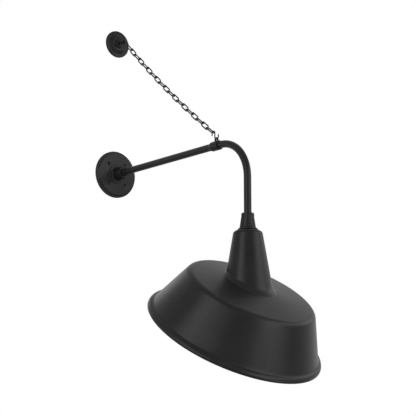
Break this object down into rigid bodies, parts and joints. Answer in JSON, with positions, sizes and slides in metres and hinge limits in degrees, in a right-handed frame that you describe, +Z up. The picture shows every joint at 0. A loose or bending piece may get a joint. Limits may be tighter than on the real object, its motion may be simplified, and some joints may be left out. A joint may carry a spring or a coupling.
{
  "type": "barn light",
  "caption": "Wall barn light: spun metal shade with a tapered neck on a gooseneck pipe arm, stayed to the wall by a chain from an eye plate.",
  "frame": {"origin": "middle of the wall flange's back face, on the wall", "axes": "the wall is the plane Y = 0, -Y runs out along the arm away from the wall, +Z is up and +X is to the right as seen by someone who faces the wall"},
  "size_m": [0.5099, 0.8721, 1.177],
  "materials": {
    "black_powder_coat": "matte black powder coat",
    "plated_steel": "zinc plated, satin",
    "porcelain": "white glaze",
    "brass": "plain, satin",
    "insulation_live": "black lead insulation",
    "insulation_neutral": "white lead insulation",
    "insulation_earth": "green lead insulation",
    "frosted_glass": "frosted white",
    "bulb_cap_metal": "satin",
    "black_glass": "glossy black insulator with a soldered tip"
  },
  "bodies": {
    "arm": {"wall_flange": "black_powder_coat", "lock_ring": "black_powder_coat", "lock_ring_screw": "black_powder_coat", "arm_pipe": "black_powder_coat", "chain_collar": "black_powder_coat", "collar_screws": "black_powder_coat", "gooseneck_pipe": "black_powder_coat", "lead_live": "insulation_live", "lead_neutral": "insulation_neutral", "lead_earth": "insulation_earth", "anchor_plate": "black_powder_coat", "anchor_eye": "black_powder_coat"},
    "chain": {"chain_link_01": "black_powder_coat", "chain_link_02": "black_powder_coat", "chain_link_03": "black_powder_coat", "chain_link_04": "black_powder_coat", "chain_link_05": "black_powder_coat", "chain_link_06": "black_powder_coat", "chain_link_07": "black_powder_coat", "chain_link_08": "black_powder_coat", "chain_link_09": "black_powder_coat", "chain_link_10": "black_powder_coat", "chain_link_11": "black_powder_coat", "chain_link_12": "black_powder_coat", "chain_link_13": "black_powder_coat", "chain_link_14": "black_powder_coat", "chain_link_15": "black_powder_coat", "chain_link_16": "black_powder_coat", "chain_link_17": "black_powder_coat", "chain_link_18": "black_powder_coat", "chain_link_19": "black_powder_coat", "chain_link_20": "black_powder_coat", "s_hook": "black_powder_coat"},
    "lamp_head": {"shade_holder": "black_powder_coat", "holder_screw": "black_powder_coat", "holder_ring": "black_powder_coat", "neck": "black_powder_coat", "shade": "black_powder_coat", "stem_nipple": "plated_steel", "nipple_nut": "plated_steel", "socket_cap": "plated_steel", "socket_body": "porcelain", "screw_shell": "brass", "centre_contact": "brass", "terminal_screws": "brass", "socket_lead_live": "insulation_live", "socket_lead_neutral": "insulation_neutral", "socket_lead_earth": "insulation_earth"},
    "bulb": {"bulb_glass": "frosted_glass", "bulb_cap": "bulb_cap_metal", "bulb_foot": "black_glass"}
  },
  "joints": [
    {"name": "chain_sway", "type": "hinge", "parent": "arm", "child": "chain", "pos_m": [0, -0.0415, 0.44309], "axis": [0, -0.7433, -0.6689], "range_deg": [-15, 15]},
    {"name": "shade_swivel", "type": "hinge", "parent": "arm", "child": "lamp_head", "pos_m": [0, -0.645, -0.2375], "axis": [0, 0, 1], "range_deg": [-170, 170]},
    {"name": "bulb_unscrew", "type": "slide", "parent": "lamp_head", "child": "bulb", "axis": [0, 0, -1], "range_m": [0, 0.03]}
  ]
}
